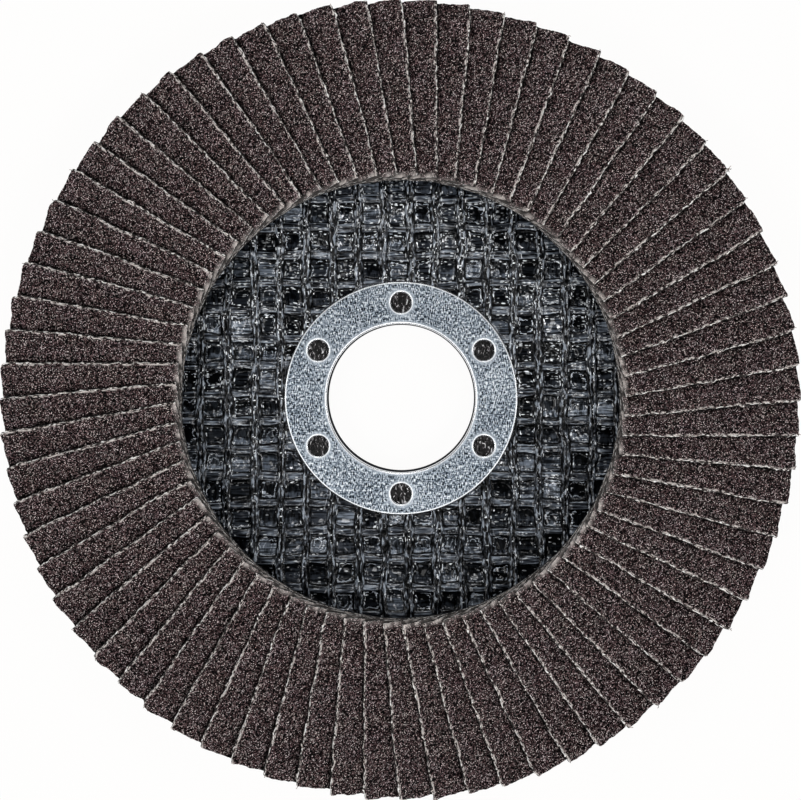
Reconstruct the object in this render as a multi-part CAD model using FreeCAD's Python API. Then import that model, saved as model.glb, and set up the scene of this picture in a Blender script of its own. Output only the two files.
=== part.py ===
import FreeCAD, Part
import math
import os

# Flap disc for a small angle grinder, depressed-centre pattern. All lengths are in millimetres.
# The origin is on the spindle axis, in the plane of the rear ring that the disc lies on.
# +Z points out of the abrasive face. Seen from +Z, the flaps follow each other clockwise.

Vector = FreeCAD.Vector
ORIGIN = Vector(0, 0, 0)
AXIS = Vector(0, 0, 1)

# The whole disc
disc_diameter = 115.0            # over the outermost corners of the flaps

# Steel rings that line the hub
bore_diameter = 22.23            # standard hole for a 7/8 inch flange
clamp_thickness = 5.0            # from the rear ring's face to the front ring's face
sheet_thickness = 0.8            # both rings are pressed from this sheet
front_ring_diameter = 35.0
rear_ring_diameter = 38.0
ring_edge_radius = 0.25          # rolled outer edge left by the press
bore_bend_radius = 0.5           # front ring's bend into the bore
clinch = 0.5                     # neck spread outwards into the rear ring's countersink

# Holes halfway across the front ring's face, that the resin flows into
anchor_count = 6
anchor_share = 0.47              # of the face's width that a hole takes, 3.0 mm across
anchor_edge = 0.25               # eased mouth of each hole
anchor_fill_depth = 0.35         # resin stays this far below the ring's face

# Glass-fibre laminate plate
flap_overhang = 5.5              # from the plate's rim to the flaps' outermost corners
rim_thickness = 3.0
hub_drop = 4.2                   # rear ring's face to the back of the rim
ring_stand = 0.2                 # rings stand this far out of the laminate
front_hub_margin = 4.0           # flat laminate between front ring and slope
rear_hub_margin = 2.0
front_slope_width = 7.2
rear_slope_width = 8.5
slope_bend_radius = 4.0

# Open weave of the front cloth: windows between the yarns, filled lower with resin
weave_pitch_x = 3.85
weave_pitch_y = 4.10
weave_shift_x = -0.6             # centre of the window nearest to the axis
weave_shift_y = -1.3
yarn_width = 1.3
window_depth = 0.3
window_ring_margin = 1.0         # whole windows only, this far outside the front ring
window_outer_radius = 32.0

# Abrasive cloth flaps
flap_count = 72
flap_width = 18.0
flap_length = 25.0
flap_thickness = 0.85
free_edge_offset = 5.3           # raised edge runs this far beside the radial line
flap_play = 0.03                 # between neighbours where they are closest

# Resin that beds the flaps on the plate
film_thickness = 0.3
bed_start = 2.0                  # from the flaps' inner ends to the resin
ridge_start = 1.0
bed_rim_margin = 0.5

# Fits
seat_clearance = 0.05            # rings in their seats, and resin round the ring's holes
bed_clearance = 0.02             # resin under the flaps

# Radii and heights that follow
bore_radius = bore_diameter / 2
neck_radius = bore_radius + sheet_thickness
front_ring_radius = front_ring_diameter / 2
rear_ring_radius = rear_ring_diameter / 2
anchor_radius = anchor_share * (front_ring_radius - bore_radius) / 2
anchor_circle_radius = (front_ring_radius + bore_radius) / 2
plate_radius = disc_diameter / 2 - flap_overhang
front_seat_height = clamp_thickness - sheet_thickness
hub_front_height = clamp_thickness - ring_stand
rim_front_height = hub_drop + rim_thickness
front_hub_radius = front_ring_radius + front_hub_margin
rear_hub_radius = rear_ring_radius + rear_hub_margin
flap_step = 2 * math.pi / flap_count
flap_seat_height = rim_front_height + film_thickness + bed_clearance


def eased_outline(corners):
    """Closed outline in the XZ plane. Each corner is (radius, height, ease, flats).

    A corner with an ease is rounded by that radius, drawn as a few flats.
    """
    points = [Vector(r, 0, z) for r, z, _, _ in corners]
    outline = []
    for i, (_, _, ease, flats) in enumerate(corners):
        here = points[i]
        if not flats:
            outline.append(here)
            continue
        to_back = points[i - 1] - here
        to_next = points[(i + 1) % len(points)] - here
        half = to_back.getAngle(to_next) / 2
        tangent = min(ease / math.tan(half), 0.45 * to_back.Length, 0.45 * to_next.Length)
        fitted = tangent * math.tan(half)
        start = here + to_back.normalize() * tangent
        end = here + to_next.normalize() * tangent
        centre = here + (to_back + to_next).normalize() * (fitted / math.sin(half))
        for step in range(flats + 1):
            ray = (start - centre) * (flats - step) + (end - centre) * step
            outline.append(centre + ray.normalize() * fitted)
    return Part.makePolygon(outline + outline[:1])


def turned(corners):
    """Solid of revolution about the spindle axis."""
    return Part.Face(eased_outline(corners)).revolve(ORIGIN, AXIS, 360)


def anchor_pins(radius, low, high):
    """One upright cylinder at each anchoring hole, the first straight up from the bore."""
    pins = []
    for i in range(anchor_count):
        angle = math.pi / 2 + 2 * math.pi * i / anchor_count
        foot = Vector(anchor_circle_radius * math.cos(angle), anchor_circle_radius * math.sin(angle), low)
        pins.append(Part.makeCylinder(radius, high - low, foot))
    return pins


def front_ring():
    """Pressed flange with a neck that lines the bore and is clinched at the rear."""
    ring = turned([
        (bore_radius, 0, 0, 0),
        (bore_radius, clamp_thickness, bore_bend_radius, 1),
        (front_ring_radius, clamp_thickness, ring_edge_radius, 1),
        (front_ring_radius, front_seat_height, 0, 0),
        (neck_radius, front_seat_height, 0, 0),
        (neck_radius, clinch, 0, 0),
        (neck_radius + clinch, 0, 0, 0),
    ])
    ring = ring.cut(anchor_pins(anchor_radius, front_seat_height / 2, 2 * clamp_thickness))
    mouths = []
    for edge in ring.Edges:
        circle = edge.Curve
        at_face = abs(edge.BoundBox.ZMin - clamp_thickness) < 1e-6
        if isinstance(circle, Part.Circle) and at_face and abs(circle.Radius - anchor_radius) < 1e-6:
            mouths.append(edge)
    return ring.makeChamfer(anchor_edge, mouths)


def rear_ring():
    """Flat ring round the neck, countersunk for the clinched end."""
    inner = neck_radius + seat_clearance
    return turned([
        (inner, clinch, 0, 0),
        (inner, sheet_thickness, 0, 0),
        (rear_ring_radius, sheet_thickness, 0, 0),
        (rear_ring_radius, 0, ring_edge_radius, 1),
        (inner + clinch, 0, 0, 0),
    ])


def front_plane(radius):
    """Height of the plate's front face at a radius, and how steeply it rises there."""
    rise = (rim_front_height - hub_front_height) / front_slope_width
    outwards = radius - front_hub_radius
    if outwards <= 0:
        return hub_front_height, 0.0
    if outwards >= front_slope_width:
        return rim_front_height, 0.0
    return hub_front_height + rise * outwards, rise


def window_pocket(x, y, half_x, half_y):
    """Upright prism over one window, with its floor in line with the face round it."""
    radius = math.hypot(x, y)
    height, rise = front_plane(radius)
    floor = []
    for side_x, side_y in ((-1, -1), (1, -1), (1, 1), (-1, 1)):
        corner_x = x + side_x * half_x
        corner_y = y + side_y * half_y
        outwards = (corner_x * x + corner_y * y) / radius - radius
        floor.append(Vector(corner_x, corner_y, height + rise * outwards - window_depth))
    return Part.Face(Part.makePolygon(floor + floor[:1])).extrude(Vector(0, 0, rim_thickness))


def weave_windows():
    """Pockets for all whole windows of the weave that the flaps and the ring leave open."""
    half_x = (weave_pitch_x - yarn_width) / 2
    half_y = (weave_pitch_y - yarn_width) / 2
    reach = math.ceil(window_outer_radius / min(weave_pitch_x, weave_pitch_y)) + 1
    nearest = front_ring_radius + window_ring_margin
    pockets = []
    for i in range(-reach, reach + 1):
        for j in range(-reach, reach + 1):
            x = weave_shift_x + i * weave_pitch_x
            y = weave_shift_y + j * weave_pitch_y
            closest = math.hypot(max(abs(x) - half_x, 0), max(abs(y) - half_y, 0))
            furthest = math.hypot(abs(x) + half_x, abs(y) + half_y)
            if closest >= nearest and furthest <= window_outer_radius:
                pockets.append(window_pocket(x, y, half_x, half_y))
    return pockets


def backing_plate():
    """Moulded glass-fibre plate: sunken hub, slope and flat rim, with the front weave."""
    hole = neck_radius + seat_clearance
    rear_seat = rear_ring_radius + seat_clearance
    front_seat = front_ring_radius + seat_clearance
    plate = turned([
        (hole, sheet_thickness, 0, 0),
        (rear_seat, sheet_thickness, 0, 0),
        (rear_seat, ring_stand, 0, 0),
        (rear_hub_radius, ring_stand, slope_bend_radius, 1),
        (rear_hub_radius + rear_slope_width, hub_drop, slope_bend_radius, 1),
        (plate_radius, hub_drop, 0, 0),
        (plate_radius, rim_front_height, 0, 0),
        (front_hub_radius + front_slope_width, rim_front_height, 0, 0),
        (front_hub_radius, hub_front_height, 0, 0),
        (front_seat, hub_front_height, 0, 0),
        (front_seat, front_seat_height, 0, 0),
        (hole, front_seat_height, 0, 0),
    ])
    windows = weave_windows()
    print("windows in the weave:", len(windows))
    plate = plate.cut(Part.makeCompound(windows))
    pips = anchor_pins(anchor_radius - seat_clearance, sheet_thickness, clamp_thickness - anchor_fill_depth)
    return plate.fuse(pips).removeSplitter()


def flap_layout():
    """Reach of the flaps' outer ends, their lean in radians, and the place of the low edge.

    They lean as far as they need to lie on each other at their inner ends. The low corner is
    the outermost one, so the lean sets the reach and the reach sets the lean.
    """
    leaning = 0.0
    for _ in range(20):
        low = free_edge_offset - flap_width * math.cos(leaning)
        corner = low - flap_thickness * math.sin(leaning)
        reach = math.sqrt((disc_diameter / 2) ** 2 - corner ** 2)
        inner = reach - flap_length
        spacing = inner * math.sin(flap_step) + corner * (1 - math.cos(flap_step))
        leaning = math.asin((flap_thickness + flap_play) / spacing)
    return reach, leaning, low


flap_outer, lean, low_edge = flap_layout()
flap_inner = flap_outer - flap_length


def leaned(shape, height):
    """Tip a shape about the flap's low edge, so that its clockwise side rises."""
    shape.rotate(ORIGIN, Vector(0, 1, 0), -math.degrees(lean))
    shape.translate(Vector(low_edge, 0, height))
    return shape


def at_step(shape, index):
    """A copy turned clockwise to the place of flap number index."""
    copy = shape.copy()
    copy.rotate(ORIGIN, AXIS, -math.degrees(flap_step) * index)
    return copy


def first_flap():
    """The flap whose length runs along +Y."""
    cloth = Part.makeBox(flap_width, flap_length, flap_thickness, Vector(0, flap_inner, 0))
    return leaned(cloth, flap_seat_height)


def first_ridge():
    """Resin wedge under the first flap, up to the low edge of the next one."""
    next_edge = low_edge - flap_thickness * math.sin(lean) - seat_clearance
    start = flap_inner + ridge_start
    end = math.sqrt((plate_radius - bed_rim_margin) ** 2 - next_edge ** 2) - ridge_start
    turn_sin = math.sin(flap_step)
    turn_cos = math.cos(flap_step)
    corners = [(low_edge, start), (low_edge, end)]
    for y in (end, start):
        corners.append((next_edge * turn_cos + y * turn_sin, y * turn_cos - next_edge * turn_sin))
    foot = rim_front_height + film_thickness / 2
    outline = Part.makePolygon([Vector(x, y, foot) for x, y in corners + corners[:1]])
    prism = Part.Face(outline).extrude(Vector(0, 0, flap_width))
    under_flap = Part.makeBox(2 * flap_width, 2 * flap_outer, flap_width, Vector(-flap_width, 0, -flap_width))
    return prism.common(leaned(under_flap, flap_seat_height - bed_clearance))


def adhesive_bed():
    """Resin film on the rim, with a wedge under each flap. Its edges follow the flaps."""
    rings = []
    for radius in (plate_radius - bed_rim_margin, flap_inner + bed_start):
        corner = Vector(0, radius, rim_front_height)
        points = [at_step(Part.Vertex(corner), i).Point for i in range(flap_count + 1)]
        rings.append(Part.Face(Part.makePolygon(points)).extrude(Vector(0, 0, film_thickness)))
    film = rings[0].cut(rings[1])
    ridge = first_ridge()
    return film.fuse([at_step(ridge, i) for i in range(flap_count)])


def save(name, solids):
    Part.makeCompound(solids).exportStep("parts/" + name + ".step")


def main():
    os.makedirs("parts", exist_ok=True)
    save("front_ring", [front_ring()])
    save("rear_ring", [rear_ring()])
    save("backing_plate", [backing_plate()])
    save("adhesive_bed", [adhesive_bed()])
    flap = first_flap()
    for pair in range(flap_count // 2):
        solids = [at_step(flap, 2 * pair), at_step(flap, 2 * pair + 1)]
        save("flap_pair_%02d" % (pair + 1), solids)
    print("flap lean in degrees: %.2f, inner ends at %.2f, outer ends at %.2f"
          % (math.degrees(lean), flap_inner, flap_outer))


main()
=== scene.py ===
# %% [markdown]
# A flap disc for an angle grinder, seen straight from above. The solid model comes from
# CAD and is the fixed frame. This script gives every piece the surface that the real one
# shows: coarse grain, cut cloth, open glass weave and zinc. All lengths below are worked
# out in millimetres and turned into metres at the very end of each piece.

import math

import bmesh
import bpy
import numpy as np
from mathutils import Matrix, Vector


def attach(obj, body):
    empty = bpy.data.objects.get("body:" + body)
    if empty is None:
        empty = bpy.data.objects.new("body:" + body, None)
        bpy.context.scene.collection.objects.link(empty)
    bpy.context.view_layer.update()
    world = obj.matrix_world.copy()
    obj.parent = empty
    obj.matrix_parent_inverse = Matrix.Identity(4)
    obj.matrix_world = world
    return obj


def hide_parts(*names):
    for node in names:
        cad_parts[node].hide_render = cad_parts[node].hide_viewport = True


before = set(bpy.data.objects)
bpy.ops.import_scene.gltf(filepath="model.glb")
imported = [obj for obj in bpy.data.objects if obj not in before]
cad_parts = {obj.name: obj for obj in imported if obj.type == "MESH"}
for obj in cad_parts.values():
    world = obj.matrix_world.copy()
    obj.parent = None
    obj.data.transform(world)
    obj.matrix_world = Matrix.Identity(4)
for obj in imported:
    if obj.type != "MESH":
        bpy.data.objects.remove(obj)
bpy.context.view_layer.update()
MM = 0.001

# %% [markdown]
# The camera comes first, because everything is judged through it. It looks straight down
# with the picture's top along +Y. The front ring lies nine millimetres lower than the
# flaps and its scale is five percent smaller, which places the lens 180 mm above the
# flaps. A small lens shift, as on a view camera, brings the disc back to the middle.

# %% Camera
PICTURE_WIDTH = 801          # pixels
FLAP_FACE = 14.2             # height of the raised edges, in mm
LENS_ABOVE_FLAPS = 180.0
PIXELS_PER_MM = 7.034        # at the flap face
SENSOR_WIDTH = 36.0
camera_x, camera_y = 2.2, 4.0        # where the lens hangs, in mm from the axis
PICTURE_X, PICTURE_Y = 0.2, -0.5     # how far the disc sits off the middle, in pixels

camera_data = bpy.data.cameras.new("camera")
camera_data.sensor_width = SENSOR_WIDTH
camera_data.lens = SENSOR_WIDTH * LENS_ABOVE_FLAPS * PIXELS_PER_MM / PICTURE_WIDTH
camera_data.shift_x = (PICTURE_X - camera_x * PIXELS_PER_MM) / PICTURE_WIDTH
camera_data.shift_y = (PICTURE_Y - camera_y * PIXELS_PER_MM) / PICTURE_WIDTH
camera_data.clip_start = 0.01
camera = bpy.data.objects.new("camera", camera_data)
camera.location = (camera_x * MM, camera_y * MM, (FLAP_FACE + LENS_ABOVE_FLAPS) * MM)
bpy.context.scene.collection.objects.link(camera)
bpy.context.scene.camera = camera
print("lens: %.1f mm" % camera_data.lens)
print("shift: %.4f, %.4f" % (camera_data.shift_x, camera_data.shift_y))

# %% [markdown]
# Colours are written as sRGB hex values, which is how a picture shows them, while the
# shaders compute in linear light. One function turns the first into the second, so that
# no colour is converted twice.

# %% Colour and node helpers
def linear(code):
    """Linear RGBA of an sRGB hex colour."""
    parts = [int(code[i:i + 2], 16) / 255 for i in (0, 2, 4)]
    return [c / 12.92 if c <= 0.04045 else ((c + 0.055) / 1.055) ** 2.4 for c in parts] + [1.0]


def node(tree, kind, inputs=None, stops=None, **settings):
    """Add a node. A socket, or a node for its first output, is linked. Any other value is set."""
    made = tree.nodes.new("ShaderNode" + kind)
    for name, value in settings.items():
        setattr(made, name, value)
    for key, value in (inputs or {}).items():
        if isinstance(value, bpy.types.Node):
            value = value.outputs[0]
        if isinstance(value, bpy.types.NodeSocket):
            tree.links.new(value, made.inputs[key])
        else:
            made.inputs[key].default_value = value
    if stops:
        elements = made.color_ramp.elements
        while len(elements) < len(stops):
            elements.new(0.5)
        for element, (place, colour) in zip(elements, stops):
            element.position = place
            element.color = linear(colour) if isinstance(colour, str) else [colour] * 3 + [1.0]
    return made


# settings that many nodes share
SMOOTH = {"interpolation_type": "SMOOTHSTEP"}
COLOURS = {"data_type": "RGBA"}
TIMES = {"data_type": "RGBA", "blend_type": "MULTIPLY"}


def new_material(name):
    """An empty node material and its tree."""
    made = bpy.data.materials.new(name)
    made.use_nodes = True
    made.node_tree.nodes.clear()
    return made, made.node_tree


print("linear value of mid grey 808080: %.3f" % linear("808080")[0])

# %% [markdown]
# The light is that of a product table: a grey surround that is nearly dark straight
# overhead, where the camera hangs, and brightest low down, with four large panels round it
# and two small softboxes on the near side. Flat black resin mirrors the dark part and stays
# black, the panels reach into the grain from all sides, and the small boxes draw white
# glints on the far slope of the hub. Together they light a level surface so that a colour
# renders about as it is written.

# %% Surround and lamps
world = bpy.data.worlds.new("surround")
bpy.context.scene.world = world
world.use_nodes = True
tree = world.node_tree
tree.nodes.clear()
path = node(tree, "LightPath")
toward = node(tree, "TexCoord")
toward = node(tree, "SeparateXYZ", {0: toward.outputs["Generated"]})
# strength by how steeply the light comes down: dark overhead, with a bright band added low down
level = node(tree, "MapRange", {0: toward.outputs[2], 1: 0.72, 2: 0.96, 3: 0.27, 4: 0.03}, **SMOOTH)
low = node(tree, "MapRange", {0: toward.outputs[2], 1: 0.08, 2: 0.35, 3: 0.55, 4: 0.0}, **SMOOTH)
level = node(tree, "Math", {0: level, 1: low})
dim = node(tree, "Background", {"Color": (0.96, 0.98, 1.0, 1.0), "Strength": level})
white = node(tree, "Background", {"Color": (1.0, 1.0, 1.0, 1.0), "Strength": 1.0})
chosen = node(tree, "MixShader", {0: path.outputs["Is Camera Ray"], 1: dim, 2: white})
node(tree, "OutputWorld", {"Surface": chosen})


def lamp(name, place, size, radiance):
    """A square panel aimed at the disc. Its power follows from how bright its face is."""
    data = bpy.data.lights.new(name, "AREA")
    data.size = size
    data.energy = radiance * math.pi * size * size
    made = bpy.data.objects.new(name, data)
    made.location = place
    made.rotation_euler = (Vector((0, 0, 0)) - Vector(place)).to_track_quat("-Z", "Y").to_euler()
    bpy.context.scene.collection.objects.link(made)
    print("%s: %.2f W" % (name, data.energy))


PANEL_OUT, PANEL_UP = 0.57, 0.63     # metres from the disc
for side, x, y in (("right", 1, 0), ("far", 0, 1), ("left", -1, 0), ("near", 0, -1)):
    lamp(side + "_panel", (x * PANEL_OUT, y * PANEL_OUT, PANEL_UP), size=0.26, radiance=4.9)
lamp("near_left_box", (-0.31, -0.20, 0.60), size=0.13, radiance=17.0)
lamp("near_right_box", (0.26, -0.25, 0.60), size=0.13, radiance=17.0)

# %% [markdown]
# The disc lies on a white sheet. Seen by the camera the sheet is nearly as bright as
# paper white, and a small share of ordinary matt shading keeps the disc's shadow on it.

# %% Floor
floor_mesh = bpy.data.meshes.new("floor")
bm = bmesh.new()
bmesh.ops.create_grid(bm, x_segments=1, y_segments=1, size=3.0)
bm.to_mesh(floor_mesh)
bm.free()
floor = bpy.data.objects.new("floor", floor_mesh)
bpy.context.scene.collection.objects.link(floor)

paper, tree = new_material("white_paper_sheet")
path = node(tree, "LightPath")
seen = node(tree, "Math", {0: path.outputs["Is Camera Ray"], 1: path.outputs["Is Glossy Ray"]},
            operation="MAXIMUM")
seen = node(tree, "Math", {0: seen, 1: path.outputs["Is Transmission Ray"]}, operation="MAXIMUM")
share = node(tree, "Math", {0: seen, 1: 0.965}, operation="MULTIPLY")
matt = node(tree, "BsdfDiffuse", {"Color": linear("F2F1F0")})
bright = node(tree, "Emission", {"Color": (1.0, 0.995, 0.99, 1.0), "Strength": 1.0})
both = node(tree, "MixShader", {0: share, 1: matt, 2: bright})
node(tree, "OutputMaterial", {"Surface": both})
floor_mesh.materials.append(paper)
print("floor at height 0, under the rear ring")

# %% [markdown]
# Every piece is built in millimetres in a bmesh and handed over by one function. It
# scales the mesh to metres, names the piece, gives it its materials, hangs it on the root
# body and hides the CAD nodes it stands for. Most walls here come from extruding a rim of
# edges step by step, and a second function makes one such step.

# %% Finish a piece
def finished(name, mesh, materials, nodes=()):
    """Put a mesh that is in millimetres into the scene as one piece of the disc."""
    mesh.name = name
    mesh.transform(Matrix.Scale(MM, 4))
    for material in materials:
        mesh.materials.append(material)
    made = bpy.data.objects.new(name, mesh)
    bpy.context.scene.collection.objects.link(made)
    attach(made, "root")
    if nodes:
        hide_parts(*nodes)
    return made


def extrude_rim(bm, rim):
    """Extrude a rim of edges in place. Gives the new vertices and the new rim."""
    made = bmesh.ops.extrude_edge_only(bm, edges=rim)["geom"]
    verts = [g for g in made if isinstance(g, bmesh.types.BMVert)]
    ends = set(verts)
    return verts, [g for g in made if isinstance(g, bmesh.types.BMEdge) and ends.issuperset(g.verts)]


def triangles(mesh):
    """How many triangles a mesh draws as."""
    return sum(len(p.vertices) - 2 for p in mesh.polygons)


# %% [markdown]
# The backing plate is glass cloth pressed with black phenolic resin. Its front cloth is
# an open weave: flat weft strands run across the picture and pairs of warp strands run
# up it, with windows between them where the resin has sunk and set in small steps. A
# texture alone would not catch the light as these do, so the hub and slope get a fine
# mesh. Its profile is drawn once, subdivided where the weave shows, and spun.

# %% Sizes of the plate
PITCH_X, PITCH_Y = 3.85, 4.10        # from window to window
SHIFT_X, SHIFT_Y = -0.6, -1.3        # the window nearest to the axis
YARN = 1.3                           # width of a strand pair
HALF_X, HALF_Y = (PITCH_X - YARN) / 2, (PITCH_Y - YARN) / 2
RIM_FRONT, HUB_FRONT = 7.2, 4.8      # heights of the front, at the flaps and round the front ring
FRONT_FLOOR, REAR_FLOOR = 4.2, 0.8   # heights that the two rings sit at
THROUGH = 11.965                     # radii: the hole for the ring's neck
FRONT_SEAT, REAR_SEAT = 17.55, 19.05
WEAVE_START = 17.6                   # just clear of the front ring
FLAT_END, SLOPE_END = 21.5, 28.7
FINE_END = 33.0                      # the flaps hide the plate from here on
PLATE_EDGE = 52.0
STEP = 0.2                           # of the fine mesh, in mm
SPIN_STEPS = 760

# corners as (radius, height): outwards along the back, then inwards along the front
outline = [(THROUGH, REAR_FLOOR), (REAR_SEAT, REAR_FLOOR), (REAR_SEAT, 0.2), (20.6, 0.2),
           (21.8, 0.45), (28.6, 3.9), (30.0, 4.2), (PLATE_EDGE - 0.4, 4.2), (PLATE_EDGE, 4.6),
           (PLATE_EDGE, 6.9), (PLATE_EDGE - 0.3, RIM_FRONT), (FINE_END, RIM_FRONT),
           (SLOPE_END, RIM_FRONT), (FLAT_END, HUB_FRONT), (FRONT_SEAT, HUB_FRONT),
           (FRONT_SEAT, FRONT_FLOOR), (THROUGH, FRONT_FLOOR)]
weave_run = (11, 12, 13)             # the edges of the outline that the weave shows on
print("outline corners:", len(outline))

# %% Spin the plate
bm = bmesh.new()
corners = [bm.verts.new((r, 0.0, z)) for r, z in outline]
edges = [bm.edges.new((a, corners[(i + 1) % len(corners)])) for i, a in enumerate(corners)]
for i in weave_run:
    length = edges[i].calc_length()
    bmesh.ops.subdivide_edges(bm, edges=[edges[i]], cuts=max(1, round(length / STEP) - 1))
bmesh.ops.spin(bm, geom=bm.verts[:] + bm.edges[:], cent=(0, 0, 0), axis=(0, 0, 1),
               angle=2 * math.pi, steps=SPIN_STEPS, use_merge=True)
bmesh.ops.recalc_face_normals(bm, faces=bm.faces[:])
plate_mesh = bpy.data.meshes.new("plate")
bm.to_mesh(plate_mesh)
bm.free()
plate_points = np.empty(len(plate_mesh.vertices) * 3)
plate_mesh.vertices.foreach_get("co", plate_points)
plate_points = plate_points.reshape(-1, 3)
print("plate: %d triangles" % triangles(plate_mesh))

# %% [markdown]
# The relief of the weave is one function of x and y. The yarns sway, so each point is
# first moved to its place on a straight cloth. There each strand pair is a twin ridge,
# and the pairs change sides at every crossing, as they do in a leno weave. In a window
# the resin has drawn down towards the middle and set in a low frame, with a second one
# inside it here and there. A seeded table holds what differs from window to window.

# %% Relief of the weave
chance = np.random.default_rng(719)
TABLE = chance.uniform(-1.0, 1.0, (32, 32, 6))


def fade(low, high, value):
    """Smooth step from 0 to 1 between two values."""
    t = np.clip((value - low) / (high - low), 0.0, 1.0)
    return t * t * (3 - 2 * t)


def hump(distance, width):
    """A bell of height 1 round zero."""
    return np.exp(-(distance / width) ** 2)


def ripples(x, y, size, seed):
    """Cheap smooth noise from -1 to 1: a few crossed waves of one size in mm."""
    source = np.random.default_rng(seed)
    total = np.zeros_like(x)
    for _ in range(7):
        heading = source.uniform(0, 2 * math.pi)
        wave = 2 * math.pi / (size * source.uniform(0.7, 1.5))
        total += np.sin(wave * (x * math.cos(heading) + y * math.sin(heading)) + source.uniform(0, 6.3))
    return total / 3.2


def swayed(x, y):
    """Where a point lies on the cloth, whose yarns sway a little."""
    return (x + 0.26 * ripples(x, y, 9.0, 1) + 0.09 * ripples(x, y, 3.5, 5),
            y + 0.22 * ripples(x, y, 8.0, 2) + 0.07 * ripples(x, y, 3.5, 6))


print("differs from window to window:", TABLE.shape[2], "numbers")


# %% Height of the woven face
def weave_relief(x, y):
    """Height over the moulded face, in mm."""
    x, y = swayed(x, y)
    column = np.round((x - SHIFT_X) / PITCH_X)
    row = np.round((y - SHIFT_Y) / PITCH_Y)
    across = x - SHIFT_X - column * PITCH_X
    along = y - SHIFT_Y - row * PITCH_Y
    from_x, from_y = np.abs(across), np.abs(along)
    odd = TABLE[column.astype(int) % 32, row.astype(int) % 32]

    # warp: two strands side by side, each over or under at a crossing
    into_warp = np.clip((from_x - HALF_X) / (YARN / 2), 0, 1)
    strand = hump(into_warp - 0.52, 0.30)
    crossing = fade(HALF_Y - 0.2, PITCH_Y / 2, from_y)
    side = np.sign(across) * np.where((column + row) % 2 < 1, 1, -1)
    twist = 0.06 * np.sin(2 * math.pi * (y * side / 1.1 + into_warp))
    warp = (0.30 + twist) * strand * (1 + 0.5 * crossing * side) - 0.10 * fade(0.7, 1.0, into_warp)

    # weft: one flat strand, cut off from the warp by a narrow slot on each side
    into_weft = np.clip((from_y - HALF_Y) / (YARN / 2), 0, 1)
    weft = (0.16 + 0.06 * odd[..., 0]) * np.sqrt(np.clip(1 - (1 - into_weft) ** 4, 0, 1))
    cloth = np.maximum(warp * fade(0, 0.15, into_warp), weft * (1 - fade(0.1, 0.5, into_warp)))
    slot = 0.38 * hump(from_x - HALF_X, 0.14)

    # window: sunken and round-cornered, with its low frames and a floor that leans a little
    inside_x = HALF_X - from_x - 0.10 * odd[..., 0]
    inside_y = HALF_Y - from_y - 0.10 * odd[..., 1]
    inside = -np.log(np.exp(-4 * inside_x) + np.exp(-4 * inside_y)) / 4
    stir = np.clip(0.35 + 0.8 * odd[..., 3], 0, 1)
    frames = 0.22 * hump(inside - 0.42 - 0.12 * odd[..., 2], 0.17)
    frames += 0.14 * np.clip(odd[..., 4], 0, 1) * hump(inside - 0.92 - 0.10 * odd[..., 5], 0.17)
    lean = 0.15 * odd[..., 4] * across + (0.15 * odd[..., 5] - 0.10) * along
    depth = 0.32 + 0.10 * odd[..., 2]
    window = -depth * fade(-0.05, 0.25, inside) + stir * frames + lean * fade(0.1, 0.4, inside)
    in_window = (from_x < HALF_X) & (from_y < HALF_Y)
    relief = np.where(in_window, window, cloth) - slot
    wrinkle = np.where(in_window, 0.8 + 0.6 * odd[..., 5], 0.5)
    return relief + wrinkle * (0.06 * ripples(x, y, 1.3, 3) + 0.025 * ripples(x, y, 0.7, 4))


middle = weave_relief(np.array([SHIFT_X]), np.array([SHIFT_Y]))[0]
print("height at the middle of one window: %.2f mm" % middle)

# %% [markdown]
# The relief fades out beside the ring and under the flaps. The swayed place of every point
# is stored with the mesh as an attribute, because the material needs the same grid.

# %% Lift the plate's points
SETTLE = 0.8                         # the relief grows to its full height over this width
ROUNDING, ROUND_WIDTH = 0.25, 1.2    # eases the two bends of the slope

radius = np.hypot(plate_points[:, 0], plate_points[:, 1])
shown = (radius > WEAVE_START) & (radius < FINE_END) & (plate_points[:, 2] > HUB_FRONT - 0.3)
strength = fade(WEAVE_START, WEAVE_START + SETTLE, radius) * (1 - fade(FINE_END - SETTLE, FINE_END, radius))
corner_fill = ROUNDING * (hump(radius - FLAT_END, ROUND_WIDTH) - hump(radius - SLOPE_END, ROUND_WIDTH))
lift = weave_relief(plate_points[:, 0], plate_points[:, 1]) * strength + corner_fill
plate_points[shown, 2] += lift[shown]
cloth_place = plate_points.copy()
cloth_place[:, 0], cloth_place[:, 1] = swayed(plate_points[:, 0], plate_points[:, 1])
on_cloth = plate_mesh.attributes.new("on_cloth", "FLOAT_VECTOR", "POINT")
on_cloth.data.foreach_set("vector", (cloth_place * MM).ravel())
plate_mesh.vertices.foreach_set("co", plate_points.ravel())
plate_mesh.shade_smooth()
print("relief runs from %.2f to %.2f mm" % (lift[shown].min(), lift[shown].max()))

# %% [markdown]
# The laminate's finish is glass fibre wetted out with black phenolic resin, pressed and
# cured. Where the resin is deep it is glossy and nearly black, and where it is thin the
# glass below shows. The strands stand a little proud, scatter more light and look grey,
# with fine streaks along each strand. The mesh has stored each point's place on the
# straight cloth. Two ping-pong nodes turn that into the distance from the middle of the
# nearest window, so the colour follows the relief and also runs over the back.

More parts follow.
